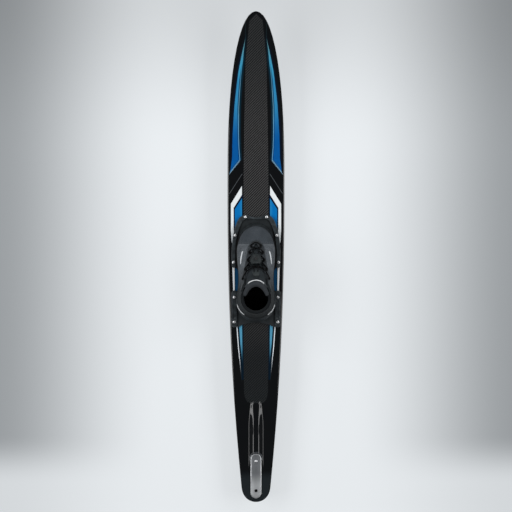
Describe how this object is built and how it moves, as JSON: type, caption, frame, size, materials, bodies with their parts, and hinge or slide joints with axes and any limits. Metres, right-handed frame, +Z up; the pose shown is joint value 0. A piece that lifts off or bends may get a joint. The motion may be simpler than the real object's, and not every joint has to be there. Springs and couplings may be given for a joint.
{
  "type": "water ski",
  "caption": "Slalom water ski with a laced boot clamped to its deck, a cord lock, a pull tab and a tail fin.",
  "frame": {"origin": "on the centreline at half the ski's length, level with the lowest edge of the fin", "axes": "+X across the ski to the right as seen from above with the tip ahead, +Y towards the tip, +Z up out of the deck"},
  "size_m": [0.198, 1.6996, 0.2753],
  "materials": {
    "deck_laminate": "gloss laminate with a printed design",
    "base_laminate": "satin laminate",
    "core_foam": "closed cell foam",
    "clamp_black": "moulded",
    "stainless": "polished",
    "black_steel": "blackened",
    "insert_brass": "knurled",
    "fin_aluminium": "brushed",
    "sole_rubber": "moulded",
    "footbed_foam": "cloth faced foam",
    "upper_fabric": "heathered",
    "heel_fabric": "mesh",
    "tongue_fabric": "matt",
    "padding": "soft",
    "piping": "reflective",
    "lacing_band": "matt",
    "lace": "woven elastic",
    "lock_plastic": "moulded",
    "button_plastic": "moulded",
    "tab_rubber": "moulded"
  },
  "bodies": {
    "ski": {"deck_shell": "deck_laminate", "base_shell": "base_laminate", "foam_core": "core_foam", "fin_top_plate": "fin_aluminium", "fin_bolt_front": "stainless", "fin_bolt_rear": "black_steel", "fin_block": "fin_aluminium", "fin_blade": "fin_aluminium", "set_screw_front": "stainless", "set_screw_middle": "stainless", "set_screw_rear": "stainless", "front_frame": "clamp_black", "left_rail": "clamp_black", "right_rail": "clamp_black", "screw_toe_left": "stainless", "screw_side_left": "stainless", "screw_leg_left": "stainless", "screw_rail_front_left": "stainless", "screw_rail_rear_left": "stainless", "screw_toe_right": "stainless", "screw_side_right": "stainless", "screw_leg_right": "stainless", "screw_rail_front_right": "stainless", "screw_rail_rear_right": "stainless", "insert_toe_left": "insert_brass", "insert_side_left": "insert_brass", "insert_leg_left": "insert_brass", "insert_rail_front_left": "insert_brass", "insert_rail_rear_left": "insert_brass", "insert_toe_right": "insert_brass", "insert_side_right": "insert_brass", "insert_leg_right": "insert_brass", "insert_rail_front_right": "insert_brass", "insert_rail_rear_right": "insert_brass", "sole_flange": "sole_rubber", "footbed": "footbed_foam", "vamp": "upper_fabric", "quarter_left": "upper_fabric", "quarter_right": "upper_fabric", "heel_shell": "heel_fabric", "tongue": "tongue_fabric", "tongue_pad": "padding", "tongue_piping": "piping", "collar_pad": "padding", "heel_piping_left": "piping", "heel_piping_right": "piping", "eyestay_left": "lacing_band", "eyestay_right": "lacing_band", "lower_lace": "lace", "upper_lace": "lace", "pull_tab_pin": "stainless"},
    "lace_lock": {"lock_housing": "lock_plastic", "lock_base": "lock_plastic", "lock_spring": "stainless"},
    "lock_button": {"lock_button": "button_plastic"},
    "pull_tab": {"pull_tab": "tab_rubber"}
  },
  "joints": [
    {"name": "lace_lock_slide", "type": "slide", "parent": "ski", "child": "lace_lock", "axis": [0, -0.7931, 0.6091], "range_m": [0, 0.02]},
    {"name": "lock_button_press", "type": "slide", "parent": "lace_lock", "child": "lock_button", "axis": [0, -0.6091, -0.7931], "range_m": [0, 0.0015], "stiffness_N_per_m": 2000, "springref_m": -0.0006, "deforming": ["lock_spring"]},
    {"name": "pull_tab_flip", "type": "hinge", "parent": "ski", "child": "pull_tab", "pos_m": [0, -0.047, 0.23715], "axis": [-1, 0, 0], "range_deg": [0, 60]}
  ]
}
